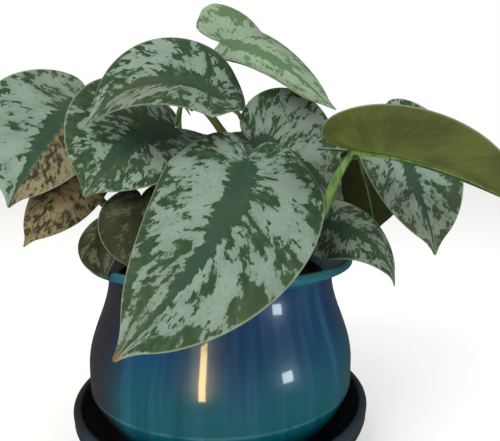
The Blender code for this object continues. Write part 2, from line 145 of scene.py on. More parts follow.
def unit(vector):
    vector = np.asarray(vector, float)
    return vector / np.linalg.norm(vector)


def leaf(name, base, tip, face, halves, arch=0, side=0, twist=0, fold=(0, 0), cup=(0, 0), hook=0, root=1.0,
         lobes=(0, 0), back=(1, 1), via=(), thickness=1.0):
    """One leaf. base and tip are the ends of its midrib in millimetres, and face is the way its upper side
    looks. halves are the widths of its left and right half in millimetres. Angles are in degrees: arch bends
    the midrib down over its length, side bends it sideways, twist turns it about itself, fold and cup lift
    the two halves, lobes lifts the back lobes, and hook turns the tip down. back is each back lobe's reach
    as a share of the usual one. root is the share of the vine's length where the petiole leaves it, via are
    points that the petiole passes, and thickness is its share of the usual petiole's."""
    radians = math.radians
    return dict(name=name, base=millimetres(*base), tip=millimetres(*tip), face=unit(face),
                halves=[half * MM for half in halves], arch=radians(arch), side=radians(side),
                twist=radians(twist), fold=[radians(angle) for angle in fold],
                cup=[radians(angle) for angle in cup], hook=radians(hook), root=root,
                lobes=[radians(angle) for angle in lobes], back=back,
                via=[millimetres(*point) for point in via], thickness=thickness)


def leafy_stem(points, *leaves):
    """A vine's points in millimetres from the soil up, and the leaves that grow on it."""
    return dict(points=np.array(points) * MM, leaves=leaves)


VINES = {
    "stem_front": leafy_stem(
        ((8, -20, 103), (9, -24, 122), (14, -26, 140), (16, -24, 152)),
        leaf("a", (13, -54, 174), (-44, -106, 93), (-0.28, -0.94, 0.19), (43, 41), arch=26,
             side=-42, twist=26, fold=(12, 19), cup=(-25, -62), hook=16, lobes=(-14, -18),
             back=(1.0, 0.9), root=1.0),
        leaf("e", (16, -30, 184), (70, -24, 151), (-0.05, -0.85, 0.5), (44, 18), arch=35,
             fold=(0, -20), root=0.8),
        leaf("h", (56, -34, 139), (88, -61, 110), (0.38, -0.62, 0.69), (18, 21), arch=72, side=-29,
             twist=-65, hook=19, fold=(1, -7), cup=(-5, -27), lobes=(6, 22), back=(1.1, 1.2),
             root=0.5),
        leaf("f", (65, -58, 179), (145, -78, 150), (0.0, 0.28, 0.96), (34, 37), arch=30,
             fold=(16, 16), root=0.4,
             via=((16, -33, 124), (28, -52, 132), (40, -61, 139), (50, -60, 148), (57, -58, 164)),
             thickness=1.25),
    ),
    "stem_left": leafy_stem(
        ((-18, -8, 103), (-18, -8, 125), (-18, -6, 145), (-16, -4, 160)),
        leaf("c", (-27, -8, 193), (-70, -46, 155), (-0.3, -0.85, 0.45), (42, 47), arch=60,
             fold=(0, 20), root=0.8),
    ),
    "stem_far_left": leafy_stem(
        ((-34, 6, 103), (-44, 6, 118), (-58, 4, 136), (-72, 2, 148), (-80, 2, 158)),
        leaf("l1", (-82, 5, 211), (-117, -25, 148), (-0.25, -0.95, 0.2), (34, 55), arch=30,
             root=1.0),
        leaf("l2", (-82, -4, 174), (-108, -30, 127), (-0.5, -0.8, 0.2), (24, 22), arch=10,
             fold=(-10, 0), cup=(-70, 0), root=0.8),
    ),
    "stem_low_left": leafy_stem(
        ((-30, -30, 103), (-32, -33, 118), (-36, -33, 132), (-40, -31, 142)),
        leaf("m", (-65, -31, 141), (-57, -59, 115), (-0.3, -0.9, 0.1), (17, 15), arch=40, root=0.5),
        leaf("n", (-42, -42, 155), (-42, -70, 121), (-0.2, -0.9, 0.2), (18, 21), arch=30, root=1.0),
    ),
    "stem_top": leafy_stem(
        ((4, 14, 103), (4, 14, 130), (6, 10, 160), (6, 9, 182), (-2, 11, 196), (-9, 13, 205)),
        leaf("b", (2, -38, 204), (-70, -39, 191), (-0.03, -0.55, 0.83), (24, 33), arch=109, side=5,
             twist=-2, hook=-18, fold=(4, 16), cup=(-18, 9), lobes=(77, -6), back=(-0.1, 1.0),
             root=0.6, via=((13, -4, 188), (11, -18, 199)), thickness=0.65),
        leaf("d", (0, 8, 246), (64, -27, 202), (0.37, -0.71, 0.60), (32, 22), arch=45, side=-1,
             twist=-35, hook=-17, fold=(4, -37), cup=(-36, 85), lobes=(44, 13), back=(1.5, 0.1),
             root=1.0, via=((-9, 13, 214), (-6, 12, 234)), thickness=0.9),
    ),
    "stem_right": leafy_stem(
        ((34, -8, 103), (40, -8, 125), (48, -10, 145), (54, -10, 160)),
        leaf("k", (105, 7, 198), (122, -32, 120), (0.07, -0.97, 0.22), (33, 29), arch=2, side=-11,
             twist=14, hook=25, fold=(6, 4), cup=(13, 0), lobes=(-8, -18), back=(1.0, 0.9),
             root=1.0),
        leaf("j", (92, 20, 176), (104, 18, 126), (0.4, 0.7, 0.6), (26, 30), arch=20, root=0.9),
    ),
    "stem_back_left": leafy_stem(
        ((-24, 34, 103), (-25, 36, 125), (-26, 38, 150), (-26, 38, 172)),
        leaf("p", (-46, 48, 196), (-96, 84, 150), (-0.35, 0.6, 0.7), (36, 36), arch=50, hook=10,
             root=1.0),
        leaf("q", (-2, 62, 190), (4, 112, 138), (0.0, 0.7, 0.7), (36, 38), arch=60, root=0.7),
        leaf("s", (-24, 30, 212), (-52, 12, 244), (-0.2, -0.6, 0.7), (6, 6), arch=20, cup=(90, 90),
             root=0.9),
    ),
    "stem_back_right": leafy_stem(
        ((24, 30, 103), (26, 32, 125), (30, 34, 145), (32, 34, 160)),
        leaf("r", (52, 52, 180), (94, 94, 126), (0.4, 0.6, 0.6), (38, 36), arch=45, hook=15,
             root=1.0),
        leaf("t", (31, 30, 200), (76, 34, 178), (0.1, 0.3, 0.9), (26, 28), arch=60, root=0.8),
    ),
}


def markings(silver=0.0, pale=0.0, dry=0.0, dry_side=0, burnt_tip=0.0, shade=0.0, band=0.13):
    """What sets a leaf's colours apart: more or less silver, a paler blade or one darkened with painted
    shade, a dried tan part on its left (1) or right (-1) half or all over (0), a burnt tip, and the width of
    its midrib's plain band."""
    return dict(silver=silver, pale=pale, dry=dry, dry_side=dry_side, burnt_tip=burnt_tip, shade=shade,
                band=band)


MARKINGS = {
    "a": markings(burnt_tip=0.7, band=0.11),
    "b": markings(silver=-0.06, band=0.16),
    "c": markings(silver=-0.08, band=0.18),
    "d": markings(silver=0.04, pale=0.85, band=0.1),
    "e": markings(silver=-0.02, shade=0.15),
    "f": markings(),
    "h": markings(silver=-0.06, shade=0.08),
    "j": markings(silver=-0.3, shade=0.8),
    "k": markings(shade=0.05),
    "l1": markings(silver=0.1, dry=0.8, dry_side=1, band=0.16),
    "l2": markings(silver=0.1, dry=0.92, band=0.1),
    "m": markings(silver=-0.1, shade=0.85),
    "n": markings(silver=-0.15, shade=0.9),
    "p": markings(silver=0.02),
    "q": markings(silver=0.05),
    "r": markings(),
    "s": markings(silver=-0.1, shade=0.6),
    "t": markings(silver=0.1),
}


def cubic(ends, share):
    """A point on one cubic curve."""
    a, b, c, d = (np.asarray(p, float) for p in ends)
    rest = 1 - share
    return rest**3 * a + 3 * rest**2 * share * b + 3 * rest * share**2 * c + share**3 * d


def smooth_path(points, steps):
    """Points along a smooth curve through the given ones."""
    points = np.asarray(points, float)
    padded = np.concatenate([2 * points[:1] - points[1:2], points, 2 * points[-1:] - points[-2:-1]])
    path = []
    for share in np.linspace(0, len(points) - 1, steps):
        i = min(int(share), len(points) - 2)
        before, start, end, after = padded[i:i + 4]
        bezier = (start, start + (end - before) / 6, end - (after - start) / 6, end)
        path.append(cubic(bezier, share - i))
    return np.array(path)


def outline_point(share):
    """(along, across) of the margin, in shares, where 0 is the sinus and 1 is the tip."""
    start = 0.0
    for ends, stop in zip(HALF_OUTLINE, OUTLINE_SHARES):
        if share <= stop:
            return cubic(ends, (share - start) / (stop - start))
        start = stop
    return np.array(HALF_OUTLINE[-1][-1])


def turn(axis, angle):
    """The matrix that turns by angle about axis 0, 1 or 2, one for each angle."""
    cosine, sine = np.cos(angle), np.sin(angle)
    matrix = np.zeros(np.shape(angle) + (3, 3))
    first, second = (axis + 1) % 3, (axis + 2) % 3
    matrix[..., axis, axis] = 1
    matrix[..., first, first] = matrix[..., second, second] = cosine
    matrix[..., first, second], matrix[..., second, first] = -sine, sine
    return matrix


def between(shares, values, at):
    """Values given at shares, read at one share."""
    flat = values.reshape(len(shares), -1)
    read = [np.interp(at, shares, flat[:, k]) for k in range(flat.shape[1])]
    return np.array(read).reshape(values.shape[1:])


def midrib_frames(spec, steps=80):
    """Shares along the midrib from the back of the lobes to the tip, its place and frame at each, and its
    length. A frame's columns point along the midrib, to its left and up out of the upper side."""
    chord = spec["tip"] - spec["base"]
    along = unit(chord)
    up = unit(spec["face"] - (spec["face"] @ along) * along)
    start = np.stack([along, np.cross(up, along), up], axis=1)
    shares = np.linspace(LOBES_BACK, 1.0, steps)
    inside = np.clip(shares, 0, 1)
    middle = inside - 0.5
    bend = spec["arch"] * middle + spec["hook"] * np.clip((inside - HOOK_START) / HOOK_RUN, 0, 1) ** 2
    frames = start @ turn(2, spec["side"] * middle) @ turn(1, bend) @ turn(0, spec["twist"] * middle)
    step = shares[1] - shares[0]
    ways = (frames[1:, :, 0] + frames[:-1, :, 0]) / 2
    path = np.concatenate([np.zeros((1, 3)), np.cumsum(ways * step, axis=0)])
    path -= between(shares, path, 0)
    length = np.linalg.norm(chord) / np.linalg.norm(path[-1])
    # The bends turn the far end a little off the chord, so the whole blade is turned back onto it.
    lean = np.array(Vector(path[-1]).rotation_difference(Vector(chord)).to_matrix())
    return shares, spec["base"] + (path * length) @ lean.T, lean @ frames, length


def blade_points(spec, rows, columns):
    """The upper side of a blade as an array [row, column], from its right margin to its left."""
    shares, path, frames, _ = midrib_frames(spec)
    points = np.zeros((len(rows), 2 * len(columns) - 1, 3))
    middle = len(columns) - 1
    for i, row in enumerate(rows):
        margin_at, margin_out = outline_point(row)
        start = row**VEIN_START_POWER
        for j, column in enumerate(columns):
            for hand, sign in enumerate((1, -1)):
                reach = margin_at * (spec["back"][hand] if margin_at < 0 else 1)
                at = start + (reach - start) * column**VEIN_SWEEP_POWER
                place, frame_at = between(shares, path, at), between(shares, frames, at)
                half = spec["halves"][hand]
                across = margin_out * column * half
                lobe = spec["lobes"][hand] * np.clip((LOBE_START - at) / LOBE_RUN, 0, 1)
                fold = spec["fold"][hand] + lobe
                rate = spec["cup"][hand] / half or FLAT_RATE
                out = (math.sin(fold + rate * across) - math.sin(fold)) / rate
                lift = (math.cos(fold) - math.cos(fold + rate * across)) / rate
                points[i, middle + sign * j] = place + frame_at[:, 1] * out * sign + frame_at[:, 2] * lift
    return points


def grid_normals(points):
    """Unit normals of a grid of points, out of a blade's upper side."""
    normal = np.cross(np.gradient(points, axis=0), np.gradient(points, axis=1))
    return normal / np.maximum(np.linalg.norm(normal, axis=2, keepdims=True), 1e-12)


def petiole_points(vine, spec):
    """A petiole's centre line from inside the vine up to the blade and on under the midrib, and its radii."""
    path = smooth_path(vine["points"], 60)
    root = between(np.linspace(0, 1, 60), path, spec["root"])
    shares, midrib, frames, length = midrib_frames(spec)
    first = between(shares, frames, 0.0)
    joint = between(shares, midrib, 0.0) - first[:, 2] * (BLADE_EDGE + 0.4 * KEEL_DEPTH)
    steps = np.linspace(0, 1, PETIOLE_STEPS)
    if spec["via"]:
        points = list(smooth_path([root, *spec["via"], joint], PETIOLE_STEPS))
    else:
        reach = np.linalg.norm(joint - root)
        vine_up = unit(path[-1] - path[0])
        leaving = root + (vine_up * 0.6 + unit(joint - root) * 0.4) * reach * 0.4
        arriving = joint - unit(first[:, 2] * (1 - PETIOLE_KNEE) + first[:, 0] * PETIOLE_KNEE) * reach * 0.3
        points = [cubic((root, leaving, arriving, joint), step) for step in steps]
    taper = np.interp(steps, (0, 0.8, 1), (1.1, 0.9, 0.6))
    radii = list(PETIOLE_RADIUS * spec["thickness"] * taper)
    run = PETIOLE_RUN / length
    for at in np.linspace(run, KEEL_END, KEEL_STEPS):
        radius = PETIOLE_RADIUS * np.interp(at, (run, 0.3, KEEL_END), (0.5, 0.3, 0.12))
        depth = radius + 0.6 * MM
        points.append(between(shares, midrib, at) - between(shares, frames, at)[:, 2] * depth)
        radii.append(radius)
    return np.array(points), np.array(radii)


# Shaders as expressions


class Level:
    """A number that varies over a surface, for use in Python expressions."""

    def __init__(self, finish, socket):
        self.finish = finish
        self.socket = socket

    def __add__(self, other):
        return self.finish.maths("ADD", self, other)

    def __sub__(self, other):
        return self.finish.maths("SUBTRACT", self, other)

    def __rsub__(self, other):
        return self.finish.maths("SUBTRACT", other, self)

    def __mul__(self, other):
        return self.finish.maths("MULTIPLY", self, other)

    def __abs__(self):
        return self.finish.maths("ABSOLUTE", self)

    __radd__ = __add__
    __rmul__ = __mul__

    def sine(self):
        return self.finish.maths("SINE", self)


class Finish:
    """A material with a Principled shader, and the nodes that vary it."""

    def __init__(self, name, **constants):
        self.material = bpy.data.materials.new(name)
        self.material.use_nodes = True
        self.tree = self.material.node_tree
        self.shader = self.tree.nodes["Principled BSDF"]
        for socket, value in constants.items():
            self.shader.inputs[socket.replace("_", " ").title().replace("Ior", "IOR")].default_value = value

    def node(self, kind, settings=None, inputs=None, output=0):
        """A node with its settings made first and then its sockets set or linked, as one of its outputs."""
        made = self.tree.nodes.new(kind)
        for setting, value in (settings or {}).items():
            setattr(made, setting, value)
        for socket, value in (inputs or {}).items():
            if isinstance(value, Level):
                self.tree.links.new(value.socket, made.inputs[socket])
            else:
                made.inputs[socket].default_value = value
        return Level(self, made.outputs[output])

    def maths(self, operation, *values):
        return self.node("ShaderNodeMath", {"operation": operation}, dict(enumerate(values)))

    def step(self, value, low, high):
        """0 below low and 1 above high, or the other way round, with a smooth change between them."""
        inputs = {0: value, 1: low, 2: high, 3: 0.0, 4: 1.0}
        if low > high:
            inputs = {0: value, 1: high, 2: low, 3: 1.0, 4: 0.0}
        return self.node("ShaderNodeMapRange", {"interpolation_type": "SMOOTHSTEP"}, inputs)

    def mix(self, share, first, second):
        """A colour between two colours."""
        first, second = (c if isinstance(c, Level) else (*c, 1) for c in (first, second))
        return self.node("ShaderNodeMix", {"data_type": "RGBA"}, {0: share, 6: first, 7: second}, output=2)

    def vector(self, x, y, z):
        return self.node("ShaderNodeCombineXYZ", None, {0: x, 1: y, 2: z})

    def noise(self, vector, scale=1.0, detail=2.0, roughness=0.5, seed=None):
        settings = {"noise_dimensions": "3D" if seed is None else "4D"}
        inputs = {"Vector": vector, "Scale": scale, "Detail": detail, "Roughness": roughness}
        if seed is not None:
            inputs["W"] = seed
        return self.node("ShaderNodeTexNoise", settings, inputs)

    def parts(self, vector):
        split = self.node("ShaderNodeSeparateXYZ", None, {0: vector}).socket.node
        return [Level(self, split.outputs[i]) for i in range(3)]

    def bump(self, height, distance, strength):
        inputs = {"Height": height, "Distance": distance, "Strength": strength}
        return self.node("ShaderNodeBump", None, inputs)

    def feed(self, **sockets):
        for socket, value in sockets.items():
            self.tree.links.new(value.socket, self.shader.inputs[socket.replace("_", " ").title()])
        return self.material


def colour(red, green, blue):
    """A colour given as it shows on a screen, from 0 to 255, as the shader takes it."""
    shares = [level / 255 for level in (red, green, blue)]
    return tuple(s / 12.92 if s < 0.04045 else ((s + 0.055) / 1.055) ** 2.4 for s in shares)


def blended(first, second, share):
    """A fixed colour between two colours."""
    return tuple(a + (b - a) * share for a, b in zip(first, second))


# Materials


def leaf_finish(name, marks, seed, look):
    """The upper side of a leaf. Its UV map runs across the blade from margin to margin and along it from
    sinus to tip. A line of equal V is a side vein, so silver that is drawn out along U is feathered."""
    finish = Finish(name, specular_ior_level=0.35)
    pale_and_shaded = {"green": ("young_green", "painted_shade_green"), "light_green": ("young_green", "painted_shade_green"),
            "rib": ("young_green", "painted_shade_green"), "silver": ("pale", "painted_shade_silver"),
            "light_silver": ("pale", "painted_shade_silver")}
    shades = {}
    # Painted shade: the shade mark blends each colour towards its darker shade colour for blades that lie in
    # shade, while the young colours are a pale young leaf's own.
    for part, (young, unlit) in pale_and_shaded.items():
        shades[part] = blended(blended(look[part], look[young], marks["pale"]), look[unlit], marks["shade"])
    across, along, _ = finish.parts(finish.node("ShaderNodeUVMap"))
    off = abs(across * 2 - 1)

    def drawn_out(cells_across, cells_along, depth, detail, seed_shift, roughness=0.5):
        """Noise with so many cells across the blade and along it."""
        place = finish.vector(across * cells_across, along * cells_along, depth)
        return finish.noise(place, detail=detail, roughness=roughness, seed=seed + seed_shift)

    patches = drawn_out(5.6, 13.0, 0.0, detail=2, seed_shift=0)
    streaks = drawn_out(13.0, 48.0, 3.0, detail=3, seed_shift=5, roughness=0.6)
    grain = drawn_out(44.0, 110.0, 9.0, detail=2, seed_shift=9)
    broad = drawn_out(1.6, 1.9, 5.0, detail=1, seed_shift=2)
    inside = finish.step(off + (streaks - 0.5) * 0.16, marks["band"] - 0.08, marks["band"] + 0.12)
    outer = finish.step(off, 0.62, 0.97)
    field = (patches - 0.5) * 1.6 + (streaks - 0.5) * 1.5 + (grain - 0.5) * 0.5
    field = field + marks["silver"] + 0.08 + (inside - 1) * 0.75 - outer * 0.1
    silvered = finish.step(field, -0.045, 0.06)
    green = finish.mix(finish.step(streaks, 0.3, 0.7), shades["green"], shades["light_green"])
    green = finish.mix(finish.step(off, 0.24, 0.0) * 0.85, green, shades["rib"])
    silver = finish.mix(finish.step(patches, 0.35, 0.65), shades["silver"], shades["light_silver"])
    silver = finish.mix(finish.step(grain, 0.6, 0.38) * 0.14, silver, shades["light_green"])
    tint = finish.mix(silvered * 0.93, green, silver)
    tint = finish.mix(finish.step(broad, 0.45, 0.72) * 0.3, tint, look["warm"])
    if marks["dry"]:
        withered = finish.step(along + (streaks - 0.5) * 0.3, 0.12, 0.5)
        if marks["dry_side"]:
            half = (across * 2 - 1) * -marks["dry_side"]
            withered = withered * finish.step(half + (streaks - 0.5) * 0.4, 0.0, 0.25)
        spots = finish.step(streaks * 0.6 + patches * 0.4, 0.44, 0.54)
        dried = finish.mix(spots, look["dry_dark"], look["dry"])
        tint = finish.mix(withered * marks["dry"], tint, dried)
    if marks["burnt_tip"]:
        burnt = finish.step(along + (streaks - 0.5) * 0.05, 0.965, 0.995)
        tint = finish.mix(burnt * marks["burnt_tip"], tint, look["burnt"])
    margin = finish.step(off, 0.975, 0.992)
    tint = finish.mix(margin * 0.7, tint, look["margin"])
    veins = (along * 150).sine() * 0.5 + 0.5
    height = veins * 0.4 + grain * 0.4 + silvered * 0.3
    return finish.feed(base_color=tint, roughness=0.48 + silvered * -0.06 + grain * 0.1,
                       normal=finish.bump(height, 0.0004, 0.35))


def underside_finish(name, look, shade):
    """The under side of a leaf, matt and plain, with faint paler side veins. A leaf in shade gets painted
    shade, darker.
    """
    finish = Finish(name, specular_ior_level=0.3)
    across, along, _ = finish.parts(finish.node("ShaderNodeUVMap"))
    off = abs(across * 2 - 1)
    cloudy = finish.noise(finish.vector(across * 3.0, along * 7.0, 0.0), detail=3)
    fine = finish.noise(finish.vector(across * 6.0, along * 70.0, 4.0), detail=2)
    tint = finish.mix(finish.step(cloudy, 0.3, 0.7), look["under"], look["light_under"])
    tint = finish.mix(finish.step(fine, 0.5, 0.7) * 0.14, tint, look["petiole"])
    tint = finish.mix(finish.step(off, 0.12, 0.0) * 0.3, tint, look["petiole"])
    tint = finish.mix(finish.step(off, 0.975, 0.992) * 0.4, tint, look["margin"])
    # Painted shade: darkened towards the shade green for leaves that lie in shade.
    tint = finish.mix(shade, tint, look["painted_shade_green"])
    return finish.feed(base_color=tint, roughness=0.48 + fine * 0.12, normal=finish.bump(fine, 0.0004, 0.3))


def stalk_finish(name, main, second, low, look):
    """A petiole or vine: green and finely streaked, and browner towards the soil."""
    finish = Finish(name, specular_ior_level=0.4)
    place = finish.node("ShaderNodeTexCoord", output="Object")
    x, y, z = finish.parts(place)
    streaks = finish.noise(finish.vector(x * 420.0, y * 420.0, z * 60.0), detail=3)
    specks = finish.noise(place, scale=900.0, detail=2)
    tint = finish.mix(finish.step(streaks, 0.35, 0.65), main, second)
    tint = finish.mix(finish.step(z + (streaks - 0.5) * 0.02, SOIL_Z + 0.045, SOIL_Z) * 0.85, tint, low)
    tint = finish.mix(finish.step(specks, 0.62, 0.7) * 0.4, tint, look["under"])
    return finish.feed(base_color=tint, roughness=0.42 + specks * 0.16,
                       normal=finish.bump(streaks, 0.0003, 0.4))


def round_axis(finish):
    """For each point of a turned piece, its place without its height, its way out from the axis as two
    numbers, and its height."""
    x, y, z = finish.parts(finish.node("ShaderNodeTexCoord", output="Object"))
    flat = finish.vector(x, y, 0.0)
    way = finish.node("ShaderNodeVectorMath", {"operation": "NORMALIZE"}, {0: flat})
    way_x, way_y, _ = finish.parts(way)
    return flat, way_x, way_y, z


def pot_finish(look):
    """Blue glaze that ran in streaks, turned teal below and on the lip, and broke brown where it is thin; its
    brown left side is painted dark reflection.
    """
    finish = Finish("pot_glaze", coat_weight=0.8, coat_roughness=0.06)
    flat, wx, wy, z = round_axis(finish)
    radius = finish.node("ShaderNodeVectorMath", {"operation": "LENGTH"}, {0: flat}, output="Value")
    runs = finish.noise(finish.vector(wx * 4.2, wy * 4.2, z * 5.0), detail=3, roughness=0.6)
    thin = finish.noise(finish.vector(wx * 13.0, wy * 13.0, z * 7.0), detail=2)
    clouds = finish.noise(finish.vector(wx * 3.0, wy * 3.0, z * 24.0), detail=2)
    low = finish.step(z + (runs - 0.5) * 0.05 + (clouds - 0.5) * 0.03, 0.092, 0.046)
    tint = finish.mix(low, look["deep_blue"], look["teal"])
    tint = finish.mix(finish.step(runs, 0.5, 0.66) * 0.5, tint, look["grey_blue"])
    tint = finish.mix(finish.step(runs, 0.46, 0.32) * 0.7, tint, look["deep_teal"])
    tint = finish.mix(finish.step(thin, 0.52, 0.72) * 0.25, tint, look["grey_blue"])
    # Painted dark reflection: the left side is turned brown, where the glaze mirrors a dark room.
    left = finish.step(wx + (runs - 0.5) * 0.3 + (clouds - 0.5) * 0.15, -0.5, -0.88)
    tint = finish.mix(left * 0.88, tint, look["brown_break"])
    behind = finish.step(wy * 0.8 + wx * 0.5 + (runs - 0.5) * 0.5, 0.86, 1.0)
    tint = finish.mix(behind * 0.6, tint, look["brown_break"])
    lip = finish.step(z, POT_RIM_Z - 0.012, POT_RIM_Z - 0.007)
    tint = finish.mix(lip * (1 - left * 0.8) * 0.85, tint, look["lip"])
    edge = finish.step(abs(radius - (POT_RIM_RADIUS - 0.0012)), 0.0014, 0.0)
    edge = edge * finish.step(z, POT_RIM_Z - 0.006, POT_RIM_Z - 0.003)
    tint = finish.mix(edge * 0.4, tint, look["edge"])
    ridge = finish.step(abs(z - (POT_RIM_Z - POT_RIDGE_DROP)), 0.0013, 0.0002)
    tint = finish.mix(ridge * finish.step(runs, 0.3, 0.6) * 0.4, tint, look["edge"])
    foot = finish.step(z, POT_FOOT_Z + 0.006, POT_FOOT_Z + 0.002)
    tint = finish.mix(foot * 0.8, tint, look["brown_break"])
    height = runs * 0.6 + thin * 0.25
    return finish.feed(base_color=tint, roughness=0.28 + thin * 0.06 + foot * 0.3,
                       normal=finish.bump(height, 0.0008, 0.2))


def saucer_finish(look):
    """The saucer's glaze, almost black inside, with a thin greyish sheen on the lip and a painted dark
    reflection in brown on its left.
    """
    finish = Finish("saucer_glaze", coat_weight=0.6, coat_roughness=0.05)
    _, wx, wy, z = round_axis(finish)
    runs = finish.noise(finish.vector(wx * 11.0, wy * 11.0, z * 14.0), detail=4)
    fine = finish.noise(finish.vector(wx * 60.0, wy * 60.0, z * 300.0), detail=3)
    tint = finish.mix(finish.step(runs, 0.35, 0.65), look["night"], look["dark_teal"])
    lip = finish.step(z, SAUCER_HEIGHT - 0.007, SAUCER_HEIGHT - 0.003)
    tint = finish.mix(lip * 0.55, tint, look["slate"])
    # Painted dark reflection: brown on the left side, as on the pot.
    brown = finish.step(wx + (runs - 0.5) * 0.8, -0.75, -1.0)
    tint = finish.mix(brown * 0.6, tint, look["brown_break"])
    foot = finish.step(z, 0.005, 0.0015)
    tint = finish.mix(foot, tint, look["clay"])
    return finish.feed(base_color=tint, roughness=0.28 + fine * 0.12 + foot * 0.4,
                       normal=finish.bump(fine, 0.0004, 0.2))


def soil_finish(look):
    """Dark, dull crumbs with bits of bark."""
    finish = Finish("potting_mix", specular_ior_level=0.2)
    place = finish.node("ShaderNodeTexCoord", output="Object")
    crumbs = finish.noise(place, scale=420.0, detail=5, roughness=0.7)
    cells = finish.node("ShaderNodeTexVoronoi", None, {"Vector": place, "Scale": 260.0})
    tint = finish.mix(finish.step(crumbs, 0.35, 0.65), look["soil"], look["dry_soil"])
    tint = finish.mix(finish.step(crumbs, 0.68, 0.74) * 0.7, tint, look["bark"])
    return finish.feed(base_color=tint, roughness=0.85 + crumbs * 0.12,
                       normal=finish.bump(cells + crumbs, 0.002, 0.8))


# Making pieces


def deselect():
    bpy.ops.object.select_all(action="DESELECT")


def named(name, slot, *finishes):
    """Names the active object, gives it its finish, and lets it ride with the plant."""
    piece = bpy.context.object
    piece.name = piece.data.name = name
    for finish in finishes:
        piece.data.materials.append(finish)
    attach(piece, "root")
    return piece


def applied(piece, name, kind, **settings):
    """Adds a modifier to the active object and applies it."""
    modifier = piece.modifiers.new(name, kind)
    for setting, value in settings.items():
        setattr(modifier, setting, value)
    bpy.ops.object.modifier_apply(modifier=modifier.name)


def thrown(profile, sides, closed):
    """A body drawn up as on a potter's wheel: a ring is added at the profile's first point, and pulled and
    widened to the next ones. A closed profile joins its last ring to its first, and an open one has a face
    at each end."""
    deselect()
    radius, height = profile[0]
    bpy.ops.mesh.primitive_circle_add(vertices=sides, radius=radius, location=(0, 0, height),
                                      fill_type="NOTHING" if closed else "NGON")
    bpy.ops.object.transform_apply(location=True, rotation=True, scale=True)
    bpy.ops.object.mode_set(mode="EDIT")
    bpy.ops.mesh.select_all(action="SELECT")
    for next_radius, next_height in profile[1:]:
        grow = next_radius / radius
        bpy.ops.mesh.extrude_region_move(TRANSFORM_OT_translate={"value": (0, 0, next_height - height)})
        bpy.ops.transform.resize(value=(grow, grow, 1), center_override=(0, 0, next_height))
        radius, height = next_radius, next_height
    if not closed:
        bpy.ops.mesh.edge_face_add()
    bpy.ops.mesh.select_all(action="SELECT")
    bpy.ops.mesh.remove_doubles(threshold=0.00001)
    bpy.ops.mesh.normals_make_consistent(inside=False)
    bpy.ops.object.mode_set(mode="OBJECT")
    bpy.ops.object.shade_smooth_by_angle(angle=math.radians(40))


def arc(centre, radius, start, stop, steps):
    """Points (r, z) of an arc between two angles in degrees."""
    angles = np.radians(np.linspace(start, stop, steps))
    return [(centre[0] + radius * math.cos(a), centre[1] + radius * math.sin(a)) for a in angles]


def pot_outer(sizes):
    """The pot's outer side from the lip's top to the foot, as (r, z)."""
    lip = POT_LIP_THICKNESS / 2
    rim = arc((sizes.rim_radius - lip, POT_RIM_Z - lip), lip, 90, -60, 10)
    neck_z = POT_RIM_Z - POT_NECK_DROP
    ridge_z = POT_RIM_Z - POT_RIDGE_DROP
    swell = sizes.belly_radius - sizes.neck_radius
    flare = [(sizes.neck_radius + out, neck_z + rise) for out, rise in POT_FLARE]
    body = []
    for share in np.linspace(0, 1, 30):
        rise = 0.5 - 0.5 * math.cos(math.pi * min(1, share / 0.8))
        body.append((sizes.neck_radius + swell * rise, neck_z + (ridge_z - neck_z) * share))
    drop = ridge_z - POT_FOOT_Z
    width = sizes.belly_radius - POT_FOOT_RADIUS
    under = []
    for share in np.linspace(0.1, 1, 14):
        inward = math.cos(share * math.pi / 2)
        under.append((POT_FOOT_RADIUS + width * inward, ridge_z - drop * (1 - inward) ** 0.72))
    return rim + flare + body + under


def pot_inner(outer):
    """The pot's inner side from the drain hole up to the lip, as (r, z)."""
    floor_z = POT_FOOT_Z + POT_FLOOR
    low, high = floor_z + 4 * MM, POT_RIM_Z - POT_LIP_THICKNESS
    wall = [(r - POT_WALL, z) for r, z in outer[::-1] if low < z < high]
    return [(DRAIN_RADIUS, floor_z), (POT_FOOT_RADIUS - POT_WALL - 3 * MM, floor_z)] + wall


def saucer_profile():
    """The saucer's outer side from its foot up, and its inner side from the lip down, as (r, z)."""
    lip = SAUCER_LIP_THICKNESS / 2
    rim = arc((SAUCER_RADIUS - lip, SAUCER_HEIGHT - lip), lip, 150, -20, 12)
    wall = []
    for share in np.linspace(0.12, 1, 14):
        wall.append((SAUCER_RADIUS - (SAUCER_RADIUS - SAUCER_FOOT_RADIUS) * share**1.7,
                     (SAUCER_HEIGHT - SAUCER_LIP_THICKNESS) * (1 - share)))
    rise = SAUCER_HEIGHT - SAUCER_LIP_THICKNESS - SAUCER_FLOOR
    width = SAUCER_RADIUS - SAUCER_LIP_THICKNESS - SAUCER_FLOOR_RADIUS
    inner = [(SAUCER_FLOOR_RADIUS, SAUCER_FLOOR)]
    for share in np.linspace(0.06, 0.95, 12):
        inner.append((SAUCER_FLOOR_RADIUS + width * share**0.55, SAUCER_FLOOR + rise * share))
    return (rim + wall)[::-1], inner[::-1]


def tube(name, points, radii, finish):
    """A round tube along a path, tapered, made as a curve with a bevel and turned into a mesh."""
    deselect()
    bpy.ops.curve.primitive_nurbs_path_add(location=(0, 0, 0))
    guide = bpy.context.object
    guide.data.splines.clear()
    guide.data.bevel_depth = 1.0
    guide.data.bevel_resolution = 4
    guide.data.use_fill_caps = True
    spline = guide.data.splines.new("POLY")
    spline.points.add(len(points) - 1)
    for point, place, radius in zip(spline.points, points, radii):
        point.co = (*place, 1)
        point.radius = radius
    bpy.ops.object.convert(target="MESH")
    bpy.ops.object.mode_set(mode="EDIT")
    bpy.ops.mesh.select_all(action="SELECT")
    bpy.ops.mesh.remove_doubles(threshold=0.000001)
    bpy.ops.mesh.normals_make_consistent(inside=False)
    bpy.ops.object.mode_set(mode="OBJECT")
    bpy.ops.object.shade_smooth()
    return named(name, "leaves", finish)


